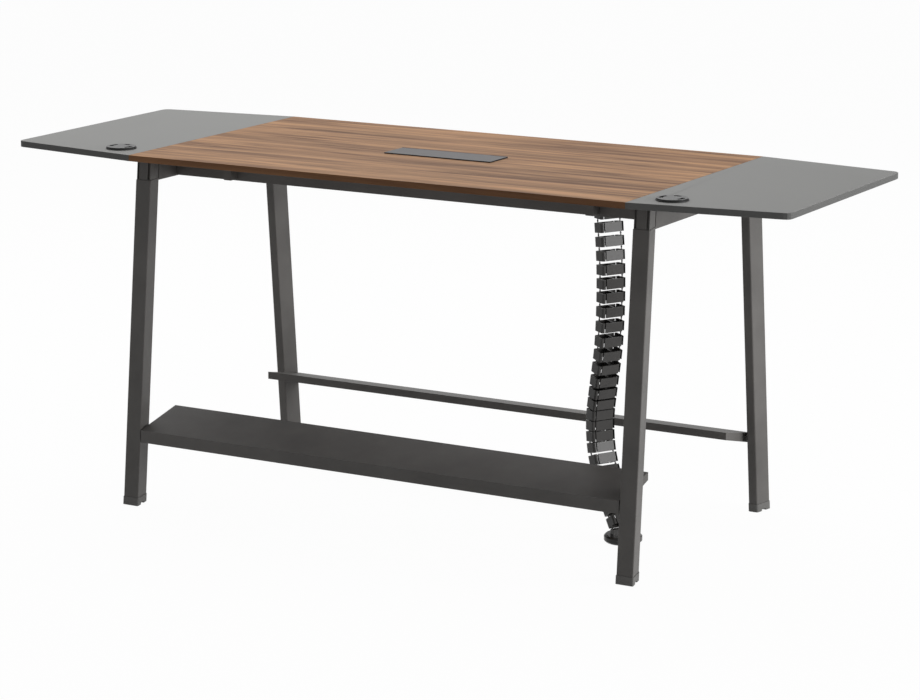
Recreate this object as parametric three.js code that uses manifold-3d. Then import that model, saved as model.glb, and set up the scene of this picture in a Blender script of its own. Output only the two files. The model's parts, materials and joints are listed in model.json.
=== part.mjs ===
// Standing-height meeting table: three-piece top, welded frame with four leaning legs, two footrests,
// a flush power box with a hinged lid, two cable grommets and a jointed cable spine.
// Millimetres, +Z up, X along the table, origin on the floor under the middle of the top.
import * as THREE from 'three';
import { mergeVertices } from 'three/addons/utils/BufferGeometryUtils.js';
import Module from 'manifold-3d';

// Top
const TABLE_HEIGHT = 1050;
const TOP_THICK = 18;
const CENTRE_LENGTH = 1606;
const CENTRE_WIDTH = 888;
const END_LENGTH = 447;
const END_WIDTH = 762;
const CORNER_RADIUS = 20;

// Legs, their feet and the pieces that join them to the top
const LEG_FROM_SEAM = 16;
const FOOT_BEYOND_TOP = 10;
const LEG_LEAN = 0.0945;
const LEG_LEAN_IN = 0.0076;
const LEG_OUTER_WIDTH = 52;
const LEG_INNER_WIDTH = 27;
const LEG_DEPTH = 62;
const LEG_EDGE_RADIUS = 4;
const LEG_WALL = 3;
const FOOT_CAP_HEIGHT = 24;
const FOOT_CAP_SOLE = 8;
const FOOT_CAP_WALL = 1.2;
const FOOT_NOTCH_HEIGHT = 5;
const FOOT_NOTCH_WIDTH = 20;
const CONNECTOR_HEIGHT = 68;
const CONNECTOR_INSET = 1.5;
const SPIGOT_LENGTH = 40;
const GROOVE_WIDTH = 7;
const GROOVE_DEPTH = 6;
const GROOVE_FLANGE = 2;

// Beams, rails and brackets under the top
const BEAM_HEIGHT = 74.5;
const BEAM_WALL = 3;
const RAIL_FRONT_Y = 210;
const RAIL_DEPTH = 30;
const RAIL_HEIGHT = 72.5;
const RAIL_WALL = 2.5;
const BRACKET_X = 595;
const BRACKET_WIDTH = 25;
const BRACKET_DEPTH = 34;
const BRACKET_HEIGHT = 68;
const BRACKET_WALL = 3;

// Footrests: bent sheet, sloping down outwards at the front and at the back
const FOOTREST_END_GAP = 3.5;
const FOOTREST_SET_IN = 20;
const FOOTREST_WIDTH = 180;
const FOOTREST_INNER_Z = 267;
const FOOTREST_OUTER_Z = 228;
const FOOTREST_INNER_LIP = 22.5;
const FOOTREST_FRONT_LIP = 37;
const FOOTREST_BACK_LIP = 30;
const FOOTREST_SHEET = 2;
const BOSS_LENGTH = 34;
const BOSS_HEIGHT = 17;
const BOSS_ABOVE_EDGE = 1.5;
const BOSS_FROM_OUTER_FACE = 12;

// Power box in the middle of the top
const LID_LENGTH = 352;
const LID_WIDTH = 102;
const LID_THICK = 2;
const FLANGE_THICK = 1;
const TRAY_LENGTH = 336;
const TRAY_WIDTH = 84;
const TRAY_DEPTH = 70;
const TRAY_WALL = 2;
const CABLE_EXIT_LENGTH = 40;
const CABLE_EXIT_WIDTH = 24;
const CABLE_EXIT_X = 135;
const HINGE_RADIUS = 1.6;
const HINGE_PIN_RADIUS = 0.7;
const HINGE_LID_LENGTH = 240;
const HINGE_SETBACK = 2.5;
const STRIP_LENGTH = 220;
const STRIP_WIDTH = 50;
const STRIP_HEIGHT = 40;
const STRIP_X = -20;
const SOCKET_RADIUS = 19;
const SOCKET_DEPTH = 12;
const SOCKET_PITCH = 52;
const SOCKET_COUNT = 4;

// Cable grommets on the end panels
const GROMMET_FROM_SEAM = 93;
const GROMMET_FROM_EDGE = 94;
const GROMMET_RADIUS = 45;
const GROMMET_RIM = 3.5;
const GROMMET_BORE = 38;
const GROMMET_TUBE_WALL = 3;
const GROMMET_TUBE_DEPTH = 22;
const CAP_RADIUS = 43;
const CAP_THICK = 3.2;
const CAP_SKIRT_WALL = 2;
const CAP_SKIRT_DEPTH = 9;
const CAP_SLOT_INNER = 24.5;
const CAP_SLOT_OUTER = 35.5;
const CAP_SLOTS_DEG = [[-37, 19], [66, 107], [146, 212]];

// Cable spine: a chain of open links from the underside of the top to a base on the floor
const SPINE_BASE_X = 624;
const SPINE_BASE_Y = -72;
const SPINE_TURN = Math.PI / 3;
const SPINE_ROUTE = [
  [-92, 915], [-79, 796], [-77, 677], [-86, 548], [-109, 431], [-125, 333], [-114, 236], [-63, 135], [0, 45],
];
const LINK_COUNT = 24;
const LINK_WIDTH = 77;
const LINK_DEPTH = 40;
const LINK_GAP = 4.4;
const LINK_WALL = 3;
const LINK_EDGE_RADIUS = 6;
const LINK_SLOT_WIDTH = 3.2;
const LINK_SLOT_FROM_END = 10;
const LINK_NOTCH_DEPTH = 8;
const LINK_MOUTH = 9;
const MOUTH_TIP = 2;
const MOUTH_TAPER = 9;
const TONGUE_WIDTH = 2;
const TONGUE_PLAY = 0.45;
const SPINE_BASE_RADIUS = 55;
const SPINE_BASE_THICK = 22;
const SPINE_BASE_CHAMFER = 5;
const SPINE_NECK_DEPTH = 16;
const SPINE_NECK_GAP = 5;
const MOUNT_DROP = 117;
const MOUNT_PLATE_LENGTH = 96;
const MOUNT_PLATE_WIDTH = 78;
const MOUNT_PLATE_THICK = 4;

// Fits
const CLEARANCE = 0.3;
const WELD_GAP = 0.05;
const OVERLAP = 1;
const ROUND_SEGMENTS = 48;
const PIN_SEGMENTS = 16;
const EDGE_SEGMENTS = 3;

const UNDERSIDE = TABLE_HEIGHT - TOP_THICK;
const SEAM_X = CENTRE_LENGTH / 2;
const LEG_X = SEAM_X + LEG_FROM_SEAM;
const LEG_FOOT_Y = CENTRE_WIDTH / 2 + FOOT_BEYOND_TOP;
const LEG_TOP = UNDERSIDE - CONNECTOR_HEIGHT;
const BEAM_X = LEG_X - LEG_LEAN_IN * (UNDERSIDE - BEAM_HEIGHT / 2);
const FOOTREST_LENGTH = 2 * (LEG_X - LEG_OUTER_WIDTH / 2 - FOOTREST_END_GAP);
const FOOTREST_OUTER_Y = LEG_FOOT_Y - FOOTREST_SET_IN;
const FOOTREST_INNER_Y = FOOTREST_OUTER_Y - FOOTREST_WIDTH;
const GROMMET_X = SEAM_X + GROMMET_FROM_SEAM;
const GROMMET_Y = GROMMET_FROM_EDGE - CENTRE_WIDTH / 2;

const wasm = await Module();
wasm.setup();

const paint = (color, roughness, metalness) => new THREE.MeshStandardMaterial({ color, roughness, metalness });
const WOOD = paint(0x9b755a, 0.55, 0);
const GREY_TOP = paint(0x929291, 0.5, 0);
const FRAME_PAINT = paint(0x4c4a48, 0.5, 0.3);
const FOOT_PLASTIC = paint(0x2c2b2a, 0.6, 0);
const LID_METAL = paint(0x848384, 0.4, 0.5);
const STEEL = paint(0xb5b5b5, 0.3, 1);
const DARK_PLASTIC = paint(0x3a3a3a, 0.5, 0);
const GROMMET_PLASTIC = paint(0x808080, 0.5, 0);
const SPINE_PLASTIC = paint(0x2e2d2c, 0.35, 0);

const CORNERS = [['front_left', -1, -1], ['front_right', 1, -1], ['back_left', -1, 1], ['back_right', 1, 1]];

const table = new THREE.Group();

function addMesh(name, geometry, material, parent = table) {
  const mesh = new THREE.Mesh(geometry, material);
  mesh.name = name;
  parent.add(mesh);
  return mesh;
}

function toSolid(geometry) {
  const bare = geometry.clone();
  bare.deleteAttribute('normal');
  bare.deleteAttribute('uv');
  const merged = mergeVertices(bare, 1e-4);
  const vertProperties = new Float32Array(merged.attributes.position.array);
  const triVerts = new Uint32Array(merged.index.array);
  return new wasm.Manifold(new wasm.Mesh({ numProp: 3, vertProperties, triVerts }));
}

function toGeometry(solid) {
  const mesh = solid.getMesh();
  const geometry = new THREE.BufferGeometry();
  geometry.setAttribute('position', new THREE.BufferAttribute(new Float32Array(mesh.vertProperties), 3));
  geometry.setIndex(new THREE.BufferAttribute(new Uint32Array(mesh.triVerts), 1));
  geometry.computeVertexNormals();
  return geometry;
}

function joinAll(...geometries) {
  return geometries.map(toSolid).reduce((whole, piece) => whole.add(piece));
}

function cutAll(solid, ...geometries) {
  return geometries.map(toSolid).reduce((rest, tool) => rest.subtract(tool), solid);
}

// A box given by its low and high corners
function box(low, high) {
  const size = high.map((value, axis) => value - low[axis]);
  const geometry = new THREE.BoxGeometry(...size);
  geometry.translate(...low.map((value, axis) => value + size[axis] / 2));
  return geometry;
}

// A polygon with its corners rounded
function roundedShape(points, radius) {
  const shape = new THREE.Shape();
  points.forEach((point, i) => {
    const corner = new THREE.Vector2(...point);
    const before = new THREE.Vector2(...points.at(i - 1)).sub(corner).setLength(radius).add(corner);
    const after = new THREE.Vector2(...points[(i + 1) % points.length]).sub(corner).setLength(radius).add(corner);
    if (i === 0) shape.moveTo(before.x, before.y);
    else shape.lineTo(before.x, before.y);
    shape.quadraticCurveTo(corner.x, corner.y, after.x, after.y);
  });
  shape.closePath();
  return shape;
}

// A prism standing on z = low with its top at z = high
function prism(shape, low, high) {
  const geometry = new THREE.ExtrudeGeometry(shape, {
    depth: high - low, bevelEnabled: false, curveSegments: EDGE_SEGMENTS,
  });
  geometry.translate(0, 0, low);
  return geometry;
}

function plainShape(points) {
  return new THREE.Shape(points.map((point) => new THREE.Vector2(...point)));
}

function rectangle(length, width) {
  return [[-length / 2, -width / 2], [length / 2, -width / 2], [length / 2, width / 2], [-length / 2, width / 2]];
}

function cylinder(radius, low, high, segments = ROUND_SEGMENTS) {
  const geometry = new THREE.CylinderGeometry(radius, radius, high - low, segments);
  geometry.rotateX(Math.PI / 2);
  geometry.translate(0, 0, (low + high) / 2);
  return geometry;
}

function barAlongX(radius, low, high, y, z) {
  const geometry = new THREE.CylinderGeometry(radius, radius, high - low, PIN_SEGMENTS);
  geometry.rotateZ(Math.PI / 2);
  geometry.translate((low + high) / 2, y, z);
  return geometry;
}

// The top: a wooden middle and two tapered grey ends
function buildTop() {
  const middle = toSolid(prism(plainShape(rectangle(CENTRE_LENGTH, CENTRE_WIDTH)), UNDERSIDE, TABLE_HEIGHT));
  const well = rectangle(TRAY_LENGTH + 2 * CLEARANCE, TRAY_WIDTH + 2 * CLEARANCE);
  const wellCut = prism(plainShape(well), UNDERSIDE - OVERLAP, TABLE_HEIGHT + OVERLAP);
  addMesh('centre_panel', toGeometry(cutAll(middle, wellCut)), WOOD);

  const tip = SEAM_X + END_LENGTH;
  for (const [name, side] of [['left_end_panel', -1], ['right_end_panel', 1]]) {
    const outline = new THREE.Shape();
    const taper = new THREE.Vector2(END_LENGTH, (END_WIDTH - CENTRE_WIDTH) / 2).setLength(CORNER_RADIUS);
    outline.moveTo(SEAM_X, -CENTRE_WIDTH / 2);
    outline.lineTo(tip - taper.x, -END_WIDTH / 2 + taper.y);
    outline.quadraticCurveTo(tip, -END_WIDTH / 2, tip, -END_WIDTH / 2 + CORNER_RADIUS);
    outline.lineTo(tip, END_WIDTH / 2 - CORNER_RADIUS);
    outline.quadraticCurveTo(tip, END_WIDTH / 2, tip - taper.x, END_WIDTH / 2 - taper.y);
    outline.lineTo(SEAM_X, CENTRE_WIDTH / 2);
    outline.closePath();
    const panel = prism(outline, UNDERSIDE, TABLE_HEIGHT);
    const boreRadius = GROMMET_BORE + GROMMET_TUBE_WALL + CLEARANCE;
    const bore = cylinder(boreRadius, UNDERSIDE - OVERLAP, TABLE_HEIGHT + OVERLAP);
    if (side < 0) panel.rotateZ(Math.PI);
    bore.translate(side * GROMMET_X, GROMMET_Y, 0);
    addMesh(name, toGeometry(cutAll(toSolid(panel), bore)), GREY_TOP);
  }
}

// Trapezoid leg section, outer face on y = 0, grown or shrunk by an offset
function legSection(offset) {
  const slope = (LEG_OUTER_WIDTH - LEG_INNER_WIDTH) / 2 / LEG_DEPTH;
  const sideways = offset * Math.hypot(1, slope);
  const halfAt = (y) => LEG_OUTER_WIDTH / 2 - slope * y + sideways;
  const outer = -offset;
  const inner = LEG_DEPTH + offset;
  return [[-halfAt(outer), outer], [halfAt(outer), outer], [halfAt(inner), inner], [-halfAt(inner), inner]];
}

function legPrism(offset, low, high) {
  const radius = Math.max(LEG_EDGE_RADIUS + offset, OVERLAP);
  return prism(roundedShape(legSection(offset), radius), low, high);
}

// Legs are drawn upright with the outer face on y = 0, then sheared inwards both ways as they rise
function lean(geometry, inwards) {
  const shear = new THREE.Matrix4().set(
    1, 0, inwards * LEG_LEAN_IN, 0,
    0, 1, LEG_LEAN, -LEG_FOOT_Y,
    0, 0, 1, 0,
    0, 0, 0, 1,
  );
  return geometry.applyMatrix4(shear);
}

// Welded wedge on the side of a leg that carries the end of a footrest
function legBoss(towards) {
  const top = FOOTREST_OUTER_Z + BOSS_ABOVE_EDGE;
  const reach = LEG_X - LEG_LEAN_IN * top - FOOTREST_LENGTH / 2 - CLEARANCE;
  const [outerCorner, , , innerCorner] = legSection(-LEG_WALL / 2);
  const sideAt = (y) => {
    const share = (y - outerCorner[1]) / (innerCorner[1] - outerCorner[1]);
    return outerCorner[0] + share * (innerCorner[0] - outerCorner[0]);
  };
  const near = BOSS_FROM_OUTER_FACE;
  const far = near + BOSS_LENGTH;
  const wedge = [[-reach, near], [sideAt(near), near], [sideAt(far), far], [-reach, far]];
  const geometry = prism(plainShape(wedge), top - BOSS_HEIGHT, top);
  if (towards > 0) geometry.rotateY(Math.PI).translate(0, 0, 2 * top - BOSS_HEIGHT);
  return geometry;
}

// Groove beside the front face of a connector, behind a thin flange that runs on from its side
function connectorGroove(side) {
  const [, front, back] = legSection(-CONNECTOR_INSET - GROOVE_FLANGE);
  const slope = (back[0] - front[0]) / (back[1] - front[1]);
  const edgeAt = (y) => front[0] + slope * (y - front[1]);
  const mouth = CONNECTOR_INSET - OVERLAP;
  const end = CONNECTOR_INSET + GROOVE_DEPTH;
  const outline = [
    [edgeAt(mouth) - GROOVE_WIDTH, mouth], [edgeAt(mouth), mouth],
    [edgeAt(end), end], [edgeAt(end) - GROOVE_WIDTH, end],
  ].map(([x, y]) => [side * x, y]);
  if (side < 0) outline.reverse();
  return prism(plainShape(outline), LEG_TOP + GROOVE_FLANGE, UNDERSIDE + OVERLAP);
}

function buildLegs() {
  for (const [place, sideX, sideY] of CORNERS) {
    const stand = new THREE.Group();
    stand.position.x = sideX * LEG_X;
    if (sideY > 0) stand.rotation.z = Math.PI;
    table.add(stand);

    const inwards = sideY > 0 ? sideX : -sideX;
    const tube = legPrism(0, FOOT_CAP_SOLE + CLEARANCE, LEG_TOP);
    const hollow = legPrism(-LEG_WALL, 0, LEG_TOP + OVERLAP);
    const leg = cutAll(toSolid(tube), hollow).add(toSolid(legBoss(inwards)));
    addMesh(`${place}_leg`, lean(toGeometry(leg), inwards), FRAME_PAINT, stand);

    const cup = legPrism(FOOT_CAP_WALL + CLEARANCE, 0, FOOT_CAP_HEIGHT);
    const seat = legPrism(CLEARANCE, FOOT_CAP_SOLE, FOOT_CAP_HEIGHT + OVERLAP);
    const notchStart = (LEG_DEPTH - FOOT_NOTCH_WIDTH) / 2;
    const notch = box(
      [-LEG_OUTER_WIDTH, notchStart, -OVERLAP],
      [LEG_OUTER_WIDTH, notchStart + FOOT_NOTCH_WIDTH, FOOT_NOTCH_HEIGHT],
    );
    const footCap = toGeometry(cutAll(toSolid(cup), seat, notch));
    addMesh(`${place}_foot_cap`, lean(footCap, inwards), FOOT_PLASTIC, stand);

    const head = legPrism(-CONNECTOR_INSET, LEG_TOP + CLEARANCE, UNDERSIDE);
    const spigot = legPrism(-LEG_WALL - CLEARANCE, LEG_TOP - SPIGOT_LENGTH, LEG_TOP + OVERLAP);
    const connector = cutAll(joinAll(head, spigot), connectorGroove(-1), connectorGroove(1));
    addMesh(`${place}_leg_connector`, lean(toGeometry(connector), inwards), FRAME_PAINT, stand);
  }
}

// Cross-beams join the two connectors at each end, long rails join the cross-beams
function buildFrame() {
  const legFaceAt = (z) => LEG_FOOT_Y - LEG_DEPTH - LEG_LEAN * z - WELD_GAP;
  const floor = UNDERSIDE - BEAM_HEIGHT;
  const step = LEG_TOP + CLEARANCE;
  const endLine = [
    [legFaceAt(floor), floor], [legFaceAt(step), step],
    [legFaceAt(step) + CONNECTOR_INSET, step], [legFaceAt(UNDERSIDE) + CONNECTOR_INSET, UNDERSIDE],
  ];
  const side = [...endLine, ...endLine.toReversed().map(([y, z]) => [-y, z])];
  for (const [name, sideX] of [['left_cross_beam', -1], ['right_cross_beam', 1]]) {
    const beam = prism(plainShape(side), -LEG_INNER_WIDTH / 2, LEG_INNER_WIDTH / 2);
    beam.rotateX(Math.PI / 2).rotateZ(Math.PI / 2);
    const halfInside = LEG_INNER_WIDTH / 2 - BEAM_WALL;
    const inside = box(
      [-halfInside, -LEG_FOOT_Y, floor + BEAM_WALL],
      [halfInside, LEG_FOOT_Y, UNDERSIDE - BEAM_WALL],
    );
    const hollowBeam = toGeometry(cutAll(toSolid(beam), inside));
    addMesh(name, hollowBeam, FRAME_PAINT).position.x = sideX * BEAM_X;
  }

  const railEnd = BEAM_X - LEG_INNER_WIDTH / 2 - CLEARANCE;
  for (const [name, sideY] of [['front_long_rail', -1], ['back_long_rail', 1]]) {
    const bar = box([-railEnd, -RAIL_DEPTH / 2, UNDERSIDE - RAIL_HEIGHT], [railEnd, RAIL_DEPTH / 2, UNDERSIDE]);
    const inside = box(
      [-railEnd - OVERLAP, RAIL_WALL - RAIL_DEPTH / 2, UNDERSIDE - RAIL_HEIGHT + RAIL_WALL],
      [railEnd + OVERLAP, RAIL_DEPTH / 2 - RAIL_WALL, UNDERSIDE - RAIL_WALL],
    );
    const rail = toGeometry(cutAll(toSolid(bar), inside));
    addMesh(name, rail, FRAME_PAINT).position.y = sideY * (RAIL_FRONT_Y - RAIL_DEPTH / 2);
  }

  for (const [place, sideX, sideY] of CORNERS) {
    const half = BRACKET_WIDTH / 2;
    const bracketLow = UNDERSIDE - BRACKET_HEIGHT;
    const block = box([-half, CLEARANCE, bracketLow], [half, BRACKET_DEPTH, UNDERSIDE]);
    const pocket = box(
      [BRACKET_WALL - half, BRACKET_WALL, bracketLow - OVERLAP],
      [half - BRACKET_WALL, BRACKET_DEPTH - BRACKET_WALL, UNDERSIDE - BRACKET_WALL],
    );
    const bracket = addMesh(`${place}_bracket`, toGeometry(cutAll(toSolid(block), pocket)), FRAME_PAINT);
    bracket.position.set(sideX * BRACKET_X, sideY * RAIL_FRONT_Y, 0);
    if (sideY < 0) bracket.rotation.z = Math.PI;
  }
}

// Sloped footrests, each folded from one sheet with lips and closed ends
function buildFootrests() {
  const half = FOOTREST_LENGTH / 2;
  const slope = (FOOTREST_INNER_Z - FOOTREST_OUTER_Z) / (FOOTREST_OUTER_Y - FOOTREST_INNER_Y);
  const drop = FOOTREST_SHEET * Math.hypot(1, slope);
  const alongX = (points, from, to) => {
    const geometry = prism(plainShape(points), from, to);
    return geometry.rotateX(Math.PI / 2).rotateZ(Math.PI / 2);
  };
  const footrests = [['front_footrest', -1, FOOTREST_FRONT_LIP], ['back_footrest', 1, FOOTREST_BACK_LIP]];
  for (const [name, sideY, lip] of footrests) {
    const outside = [
      [FOOTREST_INNER_Y, FOOTREST_INNER_Z - FOOTREST_INNER_LIP], [FOOTREST_INNER_Y, FOOTREST_INNER_Z],
      [FOOTREST_OUTER_Y, FOOTREST_OUTER_Z], [FOOTREST_OUTER_Y, FOOTREST_OUTER_Z - lip],
    ];
    const inside = [
      [FOOTREST_OUTER_Y - FOOTREST_SHEET, FOOTREST_OUTER_Z - lip],
      [FOOTREST_OUTER_Y - FOOTREST_SHEET, FOOTREST_OUTER_Z - drop + slope * FOOTREST_SHEET],
      [FOOTREST_INNER_Y + FOOTREST_SHEET, FOOTREST_INNER_Z - drop - slope * FOOTREST_SHEET],
      [FOOTREST_INNER_Y + FOOTREST_SHEET, FOOTREST_INNER_Z - FOOTREST_INNER_LIP],
    ];
    const sheet = alongX([...outside, ...inside], -half, half);
    const ends = [alongX(outside, -half, FOOTREST_SHEET - half), alongX(outside, half - FOOTREST_SHEET, half)];
    const footrest = addMesh(name, toGeometry(joinAll(sheet, ...ends)), FRAME_PAINT);
    if (sideY < 0) footrest.rotation.z = Math.PI;
  }
}

// Power box: a tray hung in the top by its flange, a lid on a hinge pin and a socket strip inside
function buildPowerBox() {
  const flangeTop = TABLE_HEIGHT + FLANGE_THICK;
  const lidLow = flangeTop + CLEARANCE;
  const lidHigh = lidLow + LID_THICK;
  const hingeY = LID_WIDTH / 2 + HINGE_SETBACK;
  const hingeZ = (lidLow + lidHigh) / 2;
  const trayFloor = TABLE_HEIGHT - TRAY_DEPTH;
  const lidKnuckle = HINGE_LID_LENGTH / 2;
  const knuckleEnd = LID_LENGTH / 2;
  const boreRadius = HINGE_PIN_RADIUS + CLEARANCE;
  const bore = barAlongX(boreRadius, -knuckleEnd - OVERLAP, knuckleEnd + OVERLAP, hingeY, hingeZ);

  const flange = prism(plainShape(rectangle(LID_LENGTH, LID_WIDTH)), TABLE_HEIGHT, flangeTop);
  const casing = prism(plainShape(rectangle(TRAY_LENGTH, TRAY_WIDTH)), trayFloor, flangeTop);
  const insideOutline = plainShape(rectangle(TRAY_LENGTH - 2 * TRAY_WALL, TRAY_WIDTH - 2 * TRAY_WALL));
  const inside = prism(insideOutline, trayFloor + TRAY_WALL, flangeTop + OVERLAP);
  const exit = prism(plainShape(rectangle(CABLE_EXIT_LENGTH, CABLE_EXIT_WIDTH)), trayFloor - OVERLAP, TABLE_HEIGHT);
  exit.translate(CABLE_EXIT_X, 0, 0);
  const knuckles = [-1, 1].flatMap((side) => {
    const near = side * (lidKnuckle + CLEARANCE);
    const far = side * knuckleEnd;
    const span = [Math.min(near, far), Math.max(near, far)];
    const leaf = box([span[0], LID_WIDTH / 2 - OVERLAP, TABLE_HEIGHT], [span[1], hingeY, flangeTop]);
    return [barAlongX(HINGE_RADIUS, span[0], span[1], hingeY, hingeZ), leaf];
  });
  const tray = cutAll(joinAll(flange, casing, ...knuckles), inside, exit, bore);
  addMesh('power_tray', toGeometry(tray), DARK_PLASTIC);

  const plate = prism(plainShape(rectangle(LID_LENGTH, LID_WIDTH)), lidLow, lidHigh);
  const lidLeaf = box([-lidKnuckle, LID_WIDTH / 2 - OVERLAP, lidLow], [lidKnuckle, hingeY, lidHigh]);
  const lidRoll = barAlongX(HINGE_RADIUS, -lidKnuckle, lidKnuckle, hingeY, hingeZ);
  const lid = cutAll(joinAll(plate, lidLeaf, lidRoll), bore);
  addMesh('power_lid', toGeometry(lid), LID_METAL);

  addMesh('lid_hinge_pin', barAlongX(HINGE_PIN_RADIUS, -knuckleEnd, knuckleEnd, hingeY, hingeZ), STEEL);

  const stripFloor = trayFloor + TRAY_WALL;
  const body = prism(plainShape(rectangle(STRIP_LENGTH, STRIP_WIDTH)), stripFloor, stripFloor + STRIP_HEIGHT);
  const sockets = Array.from({ length: SOCKET_COUNT }, (_, i) => {
    const x = (i - (SOCKET_COUNT - 1) / 2) * SOCKET_PITCH;
    const recessTop = stripFloor + STRIP_HEIGHT + OVERLAP;
    return cylinder(SOCKET_RADIUS, stripFloor + STRIP_HEIGHT - SOCKET_DEPTH, recessTop).translate(x, 0, 0);
  });
  const strip = addMesh('socket_strip', toGeometry(cutAll(toSolid(body), ...sockets)), DARK_PLASTIC);
  strip.position.x = STRIP_X;
}

// A slot bent round the middle of a cap
function arcSlot([from, to], low, high) {
  const start = THREE.MathUtils.degToRad(from);
  const end = THREE.MathUtils.degToRad(to);
  const shape = new THREE.Shape();
  shape.absarc(0, 0, CAP_SLOT_OUTER, start, end, false);
  shape.absarc(0, 0, CAP_SLOT_INNER, end, start, true);
  shape.closePath();
  return prism(shape, low, high);
}

// Grommets: a flanged sleeve pressed in each end panel and a lift-off cap with cable slots
function buildGrommets() {
  const rimTop = TABLE_HEIGHT + GROMMET_RIM;
  const tubeRadius = GROMMET_BORE + GROMMET_TUBE_WALL;
  const sleeveProfile = [
    [GROMMET_BORE, TABLE_HEIGHT - GROMMET_TUBE_DEPTH], [tubeRadius, TABLE_HEIGHT - GROMMET_TUBE_DEPTH],
    [tubeRadius, TABLE_HEIGHT], [GROMMET_RADIUS, TABLE_HEIGHT], [GROMMET_RADIUS, rimTop], [GROMMET_BORE, rimTop],
    [GROMMET_BORE, TABLE_HEIGHT - GROMMET_TUBE_DEPTH],
  ].map((point) => new THREE.Vector2(...point));
  const capLow = rimTop + CLEARANCE;
  const skirtRadius = GROMMET_BORE - CLEARANCE;
  for (const [place, side] of [['left', -1], ['right', 1]]) {
    const sleeve = new THREE.LatheGeometry(sleeveProfile, ROUND_SEGMENTS).rotateX(Math.PI / 2);
    const seat = addMesh(`${place}_grommet_sleeve`, toGeometry(toSolid(sleeve)), DARK_PLASTIC);
    seat.position.set(side * GROMMET_X, GROMMET_Y, 0);

    const disc = cylinder(CAP_RADIUS, capLow, capLow + CAP_THICK);
    const skirt = cylinder(skirtRadius, capLow - CAP_SKIRT_DEPTH, capLow + OVERLAP);
    const skirtInside = cylinder(skirtRadius - CAP_SKIRT_WALL, capLow - CAP_SKIRT_DEPTH - OVERLAP, capLow);
    const slots = CAP_SLOTS_DEG.map((arc) => arcSlot(arc, capLow - OVERLAP, capLow + CAP_THICK + OVERLAP));
    const capSolid = cutAll(joinAll(disc, skirt), skirtInside, ...slots);
    const cap = addMesh(`${place}_grommet_cap`, toGeometry(capSolid), GROMMET_PLASTIC);
    cap.position.set(side * GROMMET_X, GROMMET_Y, 0);
  }
}

// Spine route in the vertical plane through its base: [distance along the plane, height],
// drawn to scale between the base and the mount under the top. The same number of links lies between
// one route point and the next, so the links stand closer where the chain is pushed together.
function spineJoints() {
  const forward = new THREE.Vector3(Math.sin(SPINE_TURN), -Math.cos(SPINE_TURN), 0);
  const [, drawnTop] = SPINE_ROUTE.at(0);
  const [, foot] = SPINE_ROUTE.at(-1);
  const scale = (UNDERSIDE - MOUNT_DROP - foot) / (drawnTop - foot);
  const points = SPINE_ROUTE.map(([along, z]) => {
    const point = new THREE.Vector3(SPINE_BASE_X, SPINE_BASE_Y, foot + scale * (z - foot));
    return point.addScaledVector(forward, scale * along);
  });
  const curve = new THREE.CatmullRomCurve3(points, false, 'centripetal');
  return curve.getPoints(LINK_COUNT);
}

// Two tongues at the ends of a link's width reach from one height to another
function tongues(low, high) {
  const outer = LINK_WIDTH / 2;
  const halfTongue = TONGUE_WIDTH / 2;
  return [-1, 1].map((side) => box(
    [Math.min(side * outer, side * (outer - LINK_WALL)), -halfTongue, low],
    [Math.max(side * outer, side * (outer - LINK_WALL)), halfTongue, high],
  ));
}

// A box section with two cable channels: the front wall stands on a web between a slot and a wider mouth,
// and the back wall has two notches
function linkRing(low, high) {
  const outline = (inset) => rectangle(LINK_WIDTH - 2 * inset, LINK_DEPTH - 2 * inset);
  const ring = prism(roundedShape(outline(0), LINK_EDGE_RADIUS), low, high);
  const channel = roundedShape(outline(LINK_WALL), LINK_EDGE_RADIUS - LINK_WALL);
  const slotX = LINK_SLOT_FROM_END - LINK_WIDTH / 2;
  const slot = box(
    [slotX - LINK_SLOT_WIDTH / 2, -LINK_DEPTH, low - OVERLAP],
    [slotX + LINK_SLOT_WIDTH / 2, 0, high + OVERLAP],
  );
  const notches = [[low - OVERLAP, low + LINK_NOTCH_DEPTH], [high - LINK_NOTCH_DEPTH, high + OVERLAP]].map(
    ([from, to]) => box([-slotX - LINK_SLOT_WIDTH / 2, 0, from], [-slotX + LINK_SLOT_WIDTH / 2, LINK_DEPTH, to]),
  );
  const front = -LINK_DEPTH / 2;
  const end = LINK_WIDTH / 2;
  const mouthOutline = [
    [end - LINK_MOUTH, front - OVERLAP], [end + OVERLAP, front - OVERLAP], [end + OVERLAP, front + MOUTH_TIP],
    [end - LINK_WALL, front + MOUTH_TIP + MOUTH_TAPER], [end - LINK_MOUTH, front + MOUTH_TIP + MOUTH_TAPER],
  ];
  const mouth = prism(plainShape(mouthOutline), low - OVERLAP, high + OVERLAP);
  const web = box(
    [-LINK_WALL / 2, front + LINK_WALL / 2, low],
    [LINK_WALL / 2, -front - LINK_WALL / 2, high],
  );
  const walls = cutAll(toSolid(ring), prism(channel, low - OVERLAP, high + OVERLAP), slot, mouth, ...notches);
  return walls.add(toSolid(web));
}

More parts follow.
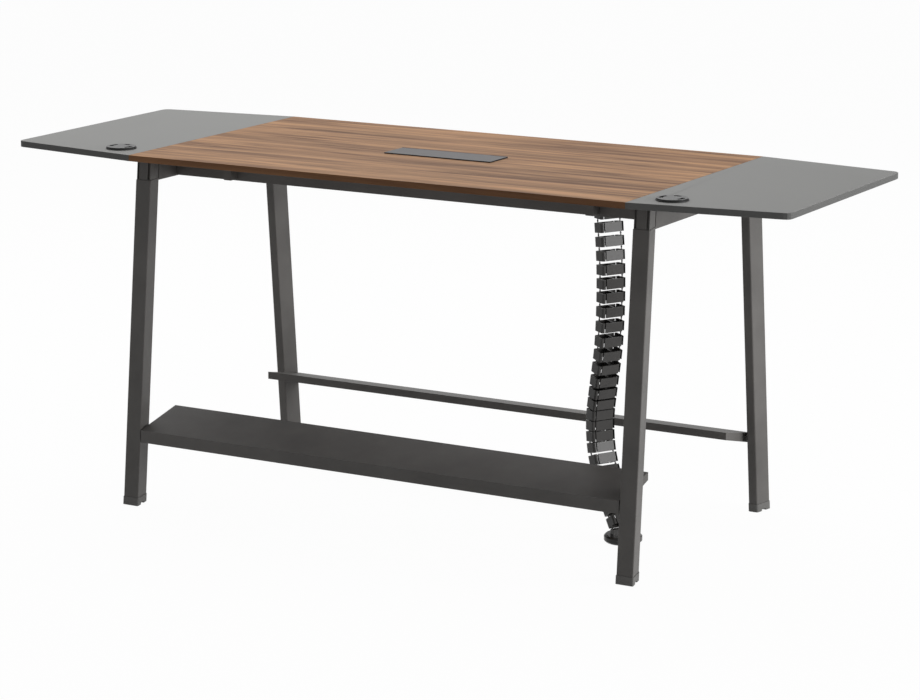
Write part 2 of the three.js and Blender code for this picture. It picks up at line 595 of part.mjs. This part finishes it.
function buildSpine() {
  const joints = spineJoints();
  const across = new THREE.Vector3(Math.cos(SPINE_TURN), Math.sin(SPINE_TURN), 0);
  const pitches = joints.slice(1).map((joint, i) => joint.distanceTo(joints[i]));
  const linkHeight = Math.min(...pitches) - LINK_GAP;

  for (let i = 0; i < LINK_COUNT; i += 1) {
    const up = joints[i].clone().sub(joints[i + 1]);
    const pitch = pitches[i];
    up.normalize();
    const back = up.clone().cross(across);
    const frame = new THREE.Group();
    frame.quaternion.setFromRotationMatrix(new THREE.Matrix4().makeBasis(across, back, up));
    frame.position.copy(joints[i + 1]);
    table.add(frame);

    const low = (pitch - linkHeight) / 2;
    const high = low + linkHeight;
    const ends = [...tongues(TONGUE_PLAY, low + OVERLAP), ...tongues(high - OVERLAP, pitch - TONGUE_PLAY)];
    const link = ends.map(toSolid).reduce((whole, piece) => whole.add(piece), linkRing(low, high));
    addMesh(`spine_link_${i + 1}`, toGeometry(link), SPINE_PLASTIC, frame);
  }

  const top = new THREE.Group();
  top.position.set(joints[0].x, joints[0].y, 0);
  top.rotation.z = SPINE_TURN;
  table.add(top);
  const plateLow = UNDERSIDE - MOUNT_PLATE_THICK;
  const sleeveLow = joints[0].z + (pitches[0] - linkHeight) / 2;
  const plate = prism(plainShape(rectangle(MOUNT_PLATE_LENGTH, MOUNT_PLATE_WIDTH)), plateLow, UNDERSIDE);
  const hangers = tongues(joints[0].z + TONGUE_PLAY, sleeveLow + OVERLAP);
  const mount = joinAll(plate, ...hangers).add(linkRing(sleeveLow, plateLow + OVERLAP));
  addMesh('spine_mount', toGeometry(mount), SPINE_PLASTIC, top);

  const floor = new THREE.Group();
  floor.position.set(SPINE_BASE_X, SPINE_BASE_Y, 0);
  floor.rotation.z = SPINE_TURN;
  table.add(floor);
  const last = joints[LINK_COUNT];
  const offset = new THREE.Vector2(last.x - SPINE_BASE_X, last.y - SPINE_BASE_Y).rotateAround(
    new THREE.Vector2(), -SPINE_TURN);
  const rim = SPINE_BASE_RADIUS - SPINE_BASE_CHAMFER;
  const profile = [
    [0, 0], [rim, 0], [SPINE_BASE_RADIUS, SPINE_BASE_CHAMFER],
    [SPINE_BASE_RADIUS, SPINE_BASE_THICK - SPINE_BASE_CHAMFER], [rim, SPINE_BASE_THICK], [0, SPINE_BASE_THICK],
  ].map((point) => new THREE.Vector2(...point));
  const disc = new THREE.LatheGeometry(profile, ROUND_SEGMENTS).rotateX(Math.PI / 2);
  const neck = prism(plainShape(rectangle(LINK_WIDTH, SPINE_NECK_DEPTH)), SPINE_BASE_THICK - OVERLAP,
    last.z - SPINE_NECK_GAP).translate(offset.x, offset.y, 0);
  const pegs = tongues(last.z - SPINE_NECK_GAP - OVERLAP, last.z - TONGUE_PLAY);
  pegs.forEach((peg) => peg.translate(offset.x, offset.y, 0));
  addMesh('spine_base', toGeometry(joinAll(disc, neck, ...pegs)), SPINE_PLASTIC, floor);
}

buildTop();
buildLegs();
buildFrame();
buildFootrests();
buildPowerBox();
buildGrommets();
buildSpine();

export default table;
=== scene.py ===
"""Dressing of a standing-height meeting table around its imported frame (metres, +Z up)."""
import json
import math
import bmesh
import bpy
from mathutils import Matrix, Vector

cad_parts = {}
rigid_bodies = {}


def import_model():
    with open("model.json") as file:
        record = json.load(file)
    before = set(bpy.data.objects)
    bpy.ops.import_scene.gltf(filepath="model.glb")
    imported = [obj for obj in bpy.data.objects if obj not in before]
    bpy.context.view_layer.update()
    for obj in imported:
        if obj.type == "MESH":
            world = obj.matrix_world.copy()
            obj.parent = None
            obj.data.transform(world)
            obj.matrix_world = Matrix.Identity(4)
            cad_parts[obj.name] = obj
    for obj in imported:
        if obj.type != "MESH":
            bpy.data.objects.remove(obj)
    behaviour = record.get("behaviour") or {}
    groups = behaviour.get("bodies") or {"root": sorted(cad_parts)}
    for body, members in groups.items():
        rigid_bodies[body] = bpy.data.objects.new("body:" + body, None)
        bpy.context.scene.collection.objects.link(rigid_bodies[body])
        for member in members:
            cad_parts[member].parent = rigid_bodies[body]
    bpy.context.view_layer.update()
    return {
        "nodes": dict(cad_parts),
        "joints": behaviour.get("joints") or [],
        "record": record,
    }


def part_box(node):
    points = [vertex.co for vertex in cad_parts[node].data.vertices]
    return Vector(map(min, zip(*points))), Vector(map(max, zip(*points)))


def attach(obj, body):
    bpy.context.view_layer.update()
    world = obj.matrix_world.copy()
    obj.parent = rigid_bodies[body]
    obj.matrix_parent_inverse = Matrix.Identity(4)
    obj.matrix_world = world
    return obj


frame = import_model()
NODES = frame["nodes"]
SLOT_OF = {row["node"]: row["material_slot"] for row in frame["record"]["subparts"]}
UP = Vector((0.0, 0.0, 1.0))
WHITE = (1.0, 1.0, 1.0, 1.0)

# Camera that matches the photograph's view
CAMERA_PLACE = (4.3853, -7.6160, 2.4480)
CAMERA_TURN = math.radians(29.658)
CAMERA_DOWN = math.radians(12.658)
CAMERA_LENS = 120.2
CAMERA_SENSOR = 36.0
CAMERA_REACH = 60.0

# Colours in sRGB, 0 to 255
WOOD_LIGHT = (200, 151, 108)
WOOD_MID = (169, 127, 91)
WOOD_DARK = (118, 85, 61)
WOOD_PORE = (98, 70, 48)
# Painted shade: dark brown for the upright sides of the wood top
WOOD_SIDE_SHADE = (92, 62, 42)
GREY_LAMINATE = (144, 144, 142)
GREY_SPECK = (168, 168, 167)
GREY_CLOUD = (130, 130, 130)
# Painted shade: dark grey for the upright sides of the laminate board
GREY_SIDE_SHADE = (86, 86, 85)
FRAME_PAINT = (91, 89, 87)
FOOT_PLASTIC = (100, 99, 97)
LID_METAL = (97, 95, 96)
# Painted shade: near black for the upright sides of the lid
LID_SIDE_SHADE = (44, 44, 45)
STEEL = (176, 176, 176)
DARK_PLASTIC = (46, 46, 46)
GROMMET_TOP = (104, 104, 104)
# Painted shade: near black for the upright sides of the grommets, standing in for the shadow gap under the
# cap
GROMMET_SIDE_SHADE = (30, 30, 30)
SPINE_PLASTIC = (64, 63, 62)
SOCKET_FACE = (70, 70, 70)
PALE_FLOOR = (244, 244, 244)

# The sRGB curve
SRGB_FULL = 255
SRGB_KNEE = 0.04045
SRGB_SLOPE = 12.92
SRGB_OFFSET = 0.055
SRGB_POWER = 2.4

# Sockets of the colour Mix node
MIX_FACTOR = 0
MIX_FIRST = 6
MIX_SECOND = 7
MIX_RESULT = 2

# Upward share of a face's normal at which it counts as upright or level
UPRIGHT = 0.3
LEVEL = 0.7

# The part of a noise's range that holds most of its values
NOISE_LOW = 0.3
NOISE_HIGH = 0.7


def linear(colour, share=1.0):
    """An sRGB colour in 0 to 255, times a share, as a linear RGBA."""
    parts = [min(SRGB_FULL, c * share) / SRGB_FULL for c in colour]
    curve = [
        p / SRGB_SLOPE if p <= SRGB_KNEE else ((p + SRGB_OFFSET) / (1 + SRGB_OFFSET)) ** SRGB_POWER
        for p in parts
    ]
    return (*curve, 1.0)


def grey_level(value):
    return (value, value, value, 1.0)


def evenly(value):
    return (value, value, value)


class Nodes:
    """A material and short calls that add and link its nodes."""

    def __init__(self, name):
        self.material = bpy.data.materials.new(name)
        self.material.use_nodes = True
        self.tree = self.material.node_tree
        self.shader = self.tree.nodes["Principled BSDF"]

    def feed(self, node, key, value):
        """Links a socket to a node's input, or sets the input's value."""
        if isinstance(value, bpy.types.NodeSocket):
            self.tree.links.new(value, node.inputs[key])
        else:
            node.inputs[key].default_value = value

    def add(self, kind, inputs=None, **settings):
        node = self.tree.nodes.new(kind)
        for key, value in settings.items():
            setattr(node, key, value)
        for key, value in (inputs or {}).items():
            self.feed(node, key, value)
        return node

    def set(self, **values):
        for key, value in values.items():
            self.shader.inputs[key.replace("_", " ")].default_value = value

    def link(self, output, key):
        self.tree.links.new(output, self.shader.inputs[key])

    def noise(self, stretch, scale=1.0, detail=2.0, roughness=0.5, distortion=0.0):
        """Noise in object coordinates, stretched along X, Y and Z."""
        coords = self.add("ShaderNodeTexCoord").outputs["Object"]
        place = self.add("ShaderNodeMapping", {"Vector": coords, "Scale": stretch}).outputs["Vector"]
        inputs = {"Vector": place, "Scale": scale, "Detail": detail, "Roughness": roughness,
                  "Distortion": distortion}
        return self.add("ShaderNodeTexNoise", inputs).outputs["Fac"]

    def ramp(self, value, stops):
        node = self.add("ShaderNodeValToRGB", {"Fac": value})
        band = node.color_ramp
        while len(band.elements) < len(stops):
            band.elements.new(1.0)
        for element, (place, colour) in zip(band.elements, stops):
            element.position = place
            element.color = colour
        return node.outputs["Color"]

    def mix(self, factor, first, second, blend="MIX"):
        node = self.add("ShaderNodeMix", data_type="RGBA", blend_type=blend)
        for key, value in ((MIX_FACTOR, factor), (MIX_FIRST, first), (MIX_SECOND, second)):
            self.feed(node, key, value)
        return node.outputs[MIX_RESULT]

    def span(self, value, out_low, out_high, low=NOISE_LOW, high=NOISE_HIGH):
        inputs = {"Value": value, "From Min": low, "From Max": high, "To Min": out_low, "To Max": out_high}
        return self.add("ShaderNodeMapRange", inputs).outputs["Result"]

    def bump(self, height, strength, distance):
        inputs = {"Height": height, "Strength": strength, "Distance": distance}
        self.link(self.add("ShaderNodeBump", inputs).outputs["Normal"], "Normal")

    def upward(self):
        """1 where a face looks up on the piece at rest, 0 where it stands upright: the mask for painted shade
        on upright sides.
        """
        normal = self.add("ShaderNodeTexCoord").outputs["Normal"]
        height = self.add("ShaderNodeSeparateXYZ", {"Vector": normal}).outputs["Z"]
        return self.span(height, 0.0, 1.0, UPRIGHT, LEVEL)


# Wood: streaks along X, plank-wide tones and fine pores
STREAK_STRETCH = (0.55, 9.0, 9.0)
STREAK_SCALE = 2.6
STREAK_DETAIL = 9.0
STREAK_ROUGHNESS = 0.62
STREAK_DISTORTION = 0.7
STREAK_STOPS = [(0.36, linear(WOOD_DARK)), (0.50, linear(WOOD_MID)), (0.63, linear(WOOD_LIGHT))]
PLANK_STRETCH = (0.35, 5.0, 5.0)
PLANK_SCALE = 1.7
PLANK_STOPS = [(0.35, grey_level(0.80)), (0.65, grey_level(1.10))]
PORE_STRETCH = (6.0, 190.0, 190.0)
PORE_SCALE = 3.0
PORE_DETAIL = 3.0
PORE_ROUGHNESS = 0.7
PORE_START = 0.60
PORE_FULL = 0.74
PORE_SHARE = 0.55
# Share of painted shade on the wood top's upright sides
WOOD_SIDE_SHADE_SHARE = 0.75
WOOD_ROUGH = 0.62
WOOD_SMOOTH = 0.52
WOOD_GLOSS = 0.12
WOOD_BUMP = 0.10
WOOD_BUMP_DEPTH = 0.0004


def wood_material():
    """Walnut-look top whose upright sides are painted darker as shade."""
    m = Nodes("walnut_top")
    streaks = m.noise(STREAK_STRETCH, STREAK_SCALE, STREAK_DETAIL, STREAK_ROUGHNESS, STREAK_DISTORTION)
    plank = m.noise(PLANK_STRETCH, PLANK_SCALE)
    toned = m.mix(1.0, m.ramp(streaks, STREAK_STOPS), m.ramp(plank, PLANK_STOPS), "MULTIPLY")
    pores = m.noise(PORE_STRETCH, PORE_SCALE, PORE_DETAIL, PORE_ROUGHNESS)
    grain = m.mix(m.span(pores, 0.0, PORE_SHARE, PORE_START, PORE_FULL), toned, linear(WOOD_PORE))
    # Painted shade: the grain mixed towards dark brown on the upright sides
    edge = m.mix(WOOD_SIDE_SHADE_SHARE, grain, linear(WOOD_SIDE_SHADE))
    m.link(m.mix(m.upward(), edge, grain), "Base Color")
    m.link(m.span(streaks, WOOD_ROUGH, WOOD_SMOOTH), "Roughness")
    m.set(Specular_IOR_Level=WOOD_GLOSS)
    m.bump(pores, WOOD_BUMP, WOOD_BUMP_DEPTH)
    return m.material


# Laminate: a fine pearl speckle over slow clouds
SPECKLE_GRAIN = 900.0
SPECKLE_START = 0.4
SPECKLE_FULL = 0.6
SPECKLE_SHARE = 0.10
CLOUD_GRAIN = 3.0
CLOUD_DETAIL = 3.0
CLOUD_SHARE = 0.10
LAMINATE_SMOOTH = 0.50
LAMINATE_ROUGH = 0.60
LAMINATE_GLOSS = 0.2
FINE_BUMP = 0.05
FINE_BUMP_DEPTH = 0.0002


def laminate_material():
    """Grey laminate board whose upright sides are painted darker as shade."""
    m = Nodes("grey_laminate")
    speckle = m.noise(evenly(SPECKLE_GRAIN))
    cloud = m.noise(evenly(CLOUD_GRAIN), detail=CLOUD_DETAIL)
    specks = m.span(speckle, 0.0, SPECKLE_SHARE, SPECKLE_START, SPECKLE_FULL)
    face = m.mix(specks, linear(GREY_LAMINATE), linear(GREY_SPECK))
    clouded = m.mix(m.span(cloud, 0.0, CLOUD_SHARE), face, linear(GREY_CLOUD))
    # Painted shade: upright sides take the dark grey, level faces the clouded laminate
    m.link(m.mix(m.upward(), linear(GREY_SIDE_SHADE), clouded), "Base Color")
    m.link(m.span(speckle, LAMINATE_SMOOTH, LAMINATE_ROUGH), "Roughness")
    m.set(Specular_IOR_Level=LAMINATE_GLOSS)
    m.bump(speckle, FINE_BUMP, FINE_BUMP_DEPTH)
    return m.material


# Coats: an orange-peel texture with slow tone changes
SLOW_GRAIN = 7.0
SLOW_DETAIL = 3.0
COAT_DARKER = 0.92
COAT_LIGHTER = 1.06
COAT_SMOOTHER = 0.05
COAT_ROUGHER = 0.07
COAT_BUMP_DEPTH = 0.0003


def coat_material(name, colour, roughness, gloss=0.3, grain=1100.0, bump=0.12, side=None):
    """Powder coat or moulded plastic; where a side colour is given, the upright sides take it as painted
    shade.
    """
    m = Nodes(name)
    peel = m.noise(evenly(grain))
    slow = m.noise(evenly(SLOW_GRAIN), detail=SLOW_DETAIL)
    toned = m.mix(m.span(slow, 0.0, 1.0), linear(colour, COAT_DARKER), linear(colour, COAT_LIGHTER))
    # Painted shade: upright sides take the given darker colour
    if side:
        toned = m.mix(m.upward(), linear(side), toned)
    m.link(toned, "Base Color")
    m.link(m.span(peel, roughness - COAT_SMOOTHER, roughness + COAT_ROUGHER), "Roughness")
    m.set(Specular_IOR_Level=gloss)
    m.bump(peel, bump, COAT_BUMP_DEPTH)
    return m.material


# Brushed metal
BRUSH_STRETCH = (14.0, 1500.0, 1500.0)
BRUSH_DETAIL = 3.0
BRUSH_ROUGHNESS = 0.6
BRUSH_DARKER = 0.9
BRUSH_SMOOTHER = 0.06
BRUSH_ROUGHER = 0.08


def brushed_material(name, colour, roughness, metallic, gloss, side=None):
    """Metal with fine brushing along X; where a side colour is given, the upright sides take it as painted
    shade.
    """
    m = Nodes(name)
    brush = m.noise(BRUSH_STRETCH, detail=BRUSH_DETAIL, roughness=BRUSH_ROUGHNESS)
    toned = m.mix(m.span(brush, 0.0, 1.0), linear(colour, BRUSH_DARKER), linear(colour))
    # Painted shade: upright sides take the given darker colour
    if side:
        toned = m.mix(m.upward(), linear(side), toned)
    m.link(toned, "Base Color")
    m.link(m.span(brush, roughness - BRUSH_SMOOTHER, roughness + BRUSH_ROUGHER), "Roughness")
    m.set(Metallic=metallic, Specular_IOR_Level=gloss)
    m.bump(brush, FINE_BUMP, FINE_BUMP_DEPTH)
    return m.material


MATERIALS = {
    "wood_top": wood_material(),
    "grey_top": laminate_material(),
    "frame_paint": coat_material("powder_coat", FRAME_PAINT, roughness=0.5, gloss=0.25, grain=1600.0),
    "foot_plastic": coat_material("foot_plastic", FOOT_PLASTIC, roughness=0.6, grain=900.0),
    # The lid's upright sides carry painted shade
    "lid_metal": brushed_material(
        "lid_metal", LID_METAL, roughness=0.45, metallic=0.12, gloss=0.15, side=LID_SIDE_SHADE),
    "steel": brushed_material("steel", STEEL, roughness=0.3, metallic=1.0, gloss=0.5),
    "dark_plastic": coat_material("dark_plastic", DARK_PLASTIC, roughness=0.5),
    # The grommets' upright sides carry painted shade
    "grommet_plastic": coat_material("grommet_plastic", GROMMET_TOP, roughness=0.5, side=GROMMET_SIDE_SHADE),
    "spine_plastic": coat_material(
        "spine_plastic", SPINE_PLASTIC, roughness=0.14, gloss=0.18, grain=1300.0, bump=0.02),
    "socket_face": coat_material("socket_face", SOCKET_FACE, roughness=0.4, bump=0.05),
}

# Rounding of the edges by finish, and where beams are welded to connectors
EDGE_ROUNDING = {
    "wood_top": 0.0010, "grey_top": 0.0012, "frame_paint": 0.0006, "foot_plastic": 0.0008,
    "lid_metal": 0.0004, "steel": 0.0002, "dark_plastic": 0.0005, "grommet_plastic": 0.0007,
    "spine_plastic": 0.0007,
}
WELDED = ("_cross_beam", "_leg_connector")
WELDED_ROUNDING = 0.00015
JOIN_DISTANCE = 0.00001
BEVEL_SEGMENTS = 2
BEVEL_ANGLE = math.radians(25)


def dress(obj, finish):
    obj.data.materials.clear()
    obj.data.materials.append(MATERIALS[finish])


def soften(obj, width):
    """Rounded edges, as every made piece has."""
    join = obj.modifiers.new("join", "WELD")
    join.merge_threshold = JOIN_DISTANCE
    bevel = obj.modifiers.new("edge", "BEVEL")
    bevel.width = width
    bevel.segments = BEVEL_SEGMENTS
    bevel.limit_method = "ANGLE"
    bevel.angle_limit = BEVEL_ANGLE
    bevel.harden_normals = True


def dress_cad():
    for name, obj in NODES.items():
        slot = SLOT_OF[name]
        dress(obj, slot)
        soften(obj, WELDED_ROUNDING if name.endswith(WELDED) else EDGE_ROUNDING[slot])


def add_piece(name, mesh, finish, body, rounding):
    """A piece of the scene's own, with its finish and the body it moves with."""
    obj = bpy.data.objects.new(name, mesh)
    bpy.context.collection.objects.link(obj)
    dress(obj, finish)
    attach(obj, body)
    soften(obj, rounding)


def to_data(name, mesh):
    data = bpy.data.meshes.new(name)
    bmesh.ops.recalc_face_normals(mesh, faces=mesh.faces)
    mesh.to_mesh(data)
    mesh.free()
    return data


def skin(mesh, rings):
    """Closed faces over rings of vertices: bands between them and a cap at each end."""
    for low, high in zip(rings, rings[1:]):
        for i in range(len(low)):
            k = (i + 1) % len(low)
            mesh.faces.new((low[i], low[k], high[k], high[i]))
    mesh.faces.new(list(reversed(rings[0])))
    mesh.faces.new(rings[-1])


def lathe(mesh, profile, centre, axis, segments):
    """A closed turned form: profile points are (radius, distance along the axis)."""
    turn = axis.to_track_quat("Z", "Y")
    rings = []
    for radius, along in profile:
        angles = [2 * math.pi * i / segments for i in range(segments)]
        offsets = [Vector((radius * math.cos(a), radius * math.sin(a), along)) for a in angles]
        rings.append([mesh.verts.new(centre + turn @ offset) for offset in offsets])
    skin(mesh, rings)


# Snap pivots of the spine: a barrel with a collar and a domed outer end, set in the links' end walls
PIVOT_PROFILE = [
    (0.0016, -0.0018), (0.0021, -0.0013), (0.0021, 0.0004), (0.0026, 0.0007), (0.0026, 0.0013),
    (0.0019, 0.0018), (0.0010, 0.0021),
]
PIVOT_SEGMENTS = 20
PIVOT_ROUNDING = 0.0002
PIVOT_SET_IN = 0.0015


def half_width(node, centre, axis):
    """How far a node reaches from a centre along an axis."""
    obj = NODES[node]
    return max((obj.matrix_world @ vertex.co - centre).dot(axis) for vertex in obj.data.vertices)


def build_pivots():
    """A pivot at each end of a link's width, at every joint of the spine."""
    joints = [joint for joint in frame["joints"] if joint["name"].startswith("spine_flex_")]
    first = joints[0]
    reach = half_width(first["child"], Vector(first["pos_m"]), Vector(first["axis"])) - PIVOT_SET_IN
    for joint in joints:
        across = Vector(joint["axis"])
        mesh = bmesh.new()
        for outwards in (-across, across):
            lathe(mesh, PIVOT_PROFILE, Vector(joint["pos_m"]) + outwards * reach, outwards, PIVOT_SEGMENTS)
        name = "spine_pivot_" + joint["name"].rsplit("_", 1)[1]
        add_piece(name, to_data(name, mesh), "spine_plastic", joint["parent"], PIVOT_ROUNDING)


# Socket inserts in the recesses of the strip
SOCKET_COUNT = 4
SOCKET_PITCH = 0.052
SOCKET_DEPTH = 0.012
SOCKET_SEGMENTS = 48
SOCKET_ROUNDING = 0.0003
INSERT_RADIUS = 0.0186
INSERT_WALL = 0.0012
INSERT_LIFT = 0.0001
INSERT_FLOOR = 0.0036
PIN_HOLE_RADIUS = 0.0024
PIN_HOLE_SPREAD = 0.0095
PIN_HOLE_DEPTH = 0.0028
PIN_HOLE_SEGMENTS = 24

# Side of a bent spring clip: (distance from the insert's wall, height above its floor)
CLIP_PROFILE = [
    (0.0000, 0.0000), (0.0008, 0.0000), (0.0018, 0.0034), (0.0008, 0.0064), (0.0000, 0.0064),
    (0.0010, 0.0034),
]
CLIP_WIDTH = 0.004
CLIP_ROUNDING = 0.0001


def hollow_out(data, tool):
    """The mesh left when a tool mesh is cut out of another."""
    solid = bpy.data.objects.new("solid", data)
    cutter = bpy.data.objects.new("cutter", tool)
    for obj in (solid, cutter):
        bpy.context.collection.objects.link(obj)
    cut = solid.modifiers.new("cut", "BOOLEAN")
    cut.object = cutter
    cut.operation = "DIFFERENCE"
    cut.solver = "EXACT"
    bpy.context.view_layer.update()
    done = solid.evaluated_get(bpy.context.evaluated_depsgraph_get())
    result = bpy.data.meshes.new_from_object(done)
    for obj in (solid, cutter):
        bpy.data.objects.remove(obj)
    return result


def insert_mesh(name, centre):
    """A round insert with a rim, a floor and two blind pin holes."""
    inner = INSERT_RADIUS - INSERT_WALL
    profile = [
        (INSERT_RADIUS, INSERT_LIFT), (INSERT_RADIUS, SOCKET_DEPTH),
        (inner, SOCKET_DEPTH), (inner, INSERT_FLOOR),
    ]
    body = bmesh.new()
    lathe(body, profile, centre, UP, SOCKET_SEGMENTS)
    bore = [(PIN_HOLE_RADIUS, INSERT_FLOOR - PIN_HOLE_DEPTH), (PIN_HOLE_RADIUS, SOCKET_DEPTH)]
    holes = bmesh.new()
    for side in (-1, 1):
        lathe(holes, bore, centre + Vector((side * PIN_HOLE_SPREAD, 0.0, 0.0)), UP, PIN_HOLE_SEGMENTS)
    return hollow_out(to_data(name, body), to_data(name + "_holes", holes))


def add_clip(mesh, centre, side):
    """A bent spring strip on the insert's wall."""
    wall = INSERT_RADIUS - INSERT_WALL
    ends = []
    for x in (-CLIP_WIDTH / 2, CLIP_WIDTH / 2):
        places = [(x, side * (wall - inwards), INSERT_FLOOR + height) for inwards, height in CLIP_PROFILE]
        ends.append([mesh.verts.new(centre + Vector(place)) for place in places])
    skin(mesh, ends)


def build_sockets():
    """Plain round socket inserts with pin holes and side clips."""
    low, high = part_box("socket_strip")
    middle = (low + high) / 2
    for i in range(SOCKET_COUNT):
        x = middle.x + (i - (SOCKET_COUNT - 1) / 2) * SOCKET_PITCH
        centre = Vector((x, middle.y, high.z - SOCKET_DEPTH))
        name = "socket_insert_%d" % (i + 1)
        add_piece(name, insert_mesh(name, centre), "socket_face", "table_frame", SOCKET_ROUNDING)
        clips = bmesh.new()
        for side in (-1, 1):
            add_clip(clips, centre, side)
        name = "socket_clips_%d" % (i + 1)
        add_piece(name, to_data(name, clips), "steel", "table_frame", CLIP_ROUNDING)


def build_camera():
    data = bpy.data.cameras.new("camera")
    data.sensor_fit = "HORIZONTAL"
    data.sensor_width = CAMERA_SENSOR
    data.lens = CAMERA_LENS
    data.clip_end = CAMERA_REACH
    camera = bpy.data.objects.new("camera", data)
    camera.location = CAMERA_PLACE
    camera.rotation_euler = (math.pi / 2 - CAMERA_DOWN, 0.0, CAMERA_TURN)
    bpy.context.collection.objects.link(camera)
    bpy.context.scene.camera = camera


# Lamps: watts, metres
WORLD_LIGHT = 0.24
REFLECTED_WHITE = 0.8
SIDE_LIGHT = 335.0
SIDE_PLACE = (6.4, 1.0, 1.70)
SIDE_TARGET = (0.0, 0.0, 1.35)
SIDE_SIZE = (4.5, 2.7)
TOP_LIGHT = 172.0
TOP_PLACE = (-2.8, 2.0, 5.0)
TOP_TARGET = (0.0, 0.0, 0.8)
TOP_SIZE = (6.0, 3.0)


def area_light(name, place, target, size, power):
    data = bpy.data.lights.new(name, "AREA")
    data.shape = "RECTANGLE"
    data.size, data.size_y = size
    data.energy = power
    light = bpy.data.objects.new(name, data)
    light.location = place
    light.rotation_euler = (Vector(target) - Vector(place)).to_track_quat("-Z", "Y").to_euler()
    bpy.context.collection.objects.link(light)


def seeing_rays(tree):
    """1 for the rays that show the background: the camera's, and those seen in metal and glass."""
    rays = tree.nodes.new("ShaderNodeLightPath")
    seen = rays.outputs["Is Camera Ray"]
    for other in ("Is Glossy Ray", "Is Transmission Ray"):
        either = tree.nodes.new("ShaderNodeMath")
        either.operation = "MAXIMUM"
        tree.links.new(seen, either.inputs[0])
        tree.links.new(rays.outputs[other], either.inputs[1])
        seen = either.outputs[0]
    return seen


def build_light():
    area_light("side_light", SIDE_PLACE, SIDE_TARGET, SIDE_SIZE, SIDE_LIGHT)
    area_light("top_light", TOP_PLACE, TOP_TARGET, TOP_SIZE, TOP_LIGHT)

    world = bpy.data.worlds.new("studio")
    world.use_nodes = True
    bpy.context.scene.world = world
    tree = world.node_tree
    light = tree.nodes["Background"]
    light.inputs["Color"].default_value = WHITE
    light.inputs["Strength"].default_value = WORLD_LIGHT
    white = tree.nodes.new("ShaderNodeBackground")
    white.inputs["Color"].default_value = WHITE
    rays = tree.nodes.new("ShaderNodeLightPath")
    level = tree.nodes.new("ShaderNodeMapRange")
    level.inputs["To Min"].default_value = REFLECTED_WHITE
    tree.links.new(rays.outputs["Is Camera Ray"], level.inputs["Value"])
    tree.links.new(level.outputs["Result"], white.inputs["Strength"])
    chooser = tree.nodes.new("ShaderNodeMixShader")
    tree.links.new(seeing_rays(tree), chooser.inputs[0])
    tree.links.new(light.outputs[0], chooser.inputs[1])
    tree.links.new(white.outputs[0], chooser.inputs[2])
    tree.links.new(chooser.outputs[0], tree.nodes["World Output"].inputs["Surface"])


FLOOR_HALF = 30.0
FLOOR_DROP = 0.0005
FLOOR_ROUGHNESS = 0.9
FLOOR_WHITE = 0.97


def build_floor():
    """A pale floor that looks white to the camera and keeps a faint shadow."""
    mesh = bpy.data.meshes.new("floor")
    corners = [
        (-FLOOR_HALF, -FLOOR_HALF, 0), (FLOOR_HALF, -FLOOR_HALF, 0), (FLOOR_HALF, FLOOR_HALF, 0),
        (-FLOOR_HALF, FLOOR_HALF, 0),
    ]
    mesh.from_pydata(corners, [], [(0, 1, 2, 3)])
    floor = bpy.data.objects.new("floor", mesh)
    floor.location.z = -FLOOR_DROP
    bpy.context.collection.objects.link(floor)
    m = Nodes("pale_floor")
    m.set(Base_Color=linear(PALE_FLOOR), Roughness=FLOOR_ROUGHNESS)
    white = m.add("ShaderNodeEmission", {"Color": WHITE, "Strength": 1.0})
    share = m.add("ShaderNodeMath", {0: seeing_rays(m.tree), 1: FLOOR_WHITE}, operation="MULTIPLY").outputs[0]
    chooser = m.add("ShaderNodeMixShader", {0: share, 1: m.shader.outputs[0], 2: white.outputs[0]})
    m.tree.links.new(chooser.outputs[0], m.tree.nodes["Material Output"].inputs["Surface"])
    mesh.materials.append(m.material)


bpy.context.scene.view_settings.view_transform = "Standard"
build_camera()
dress_cad()
build_pivots()
build_sockets()
build_light()
build_floor()
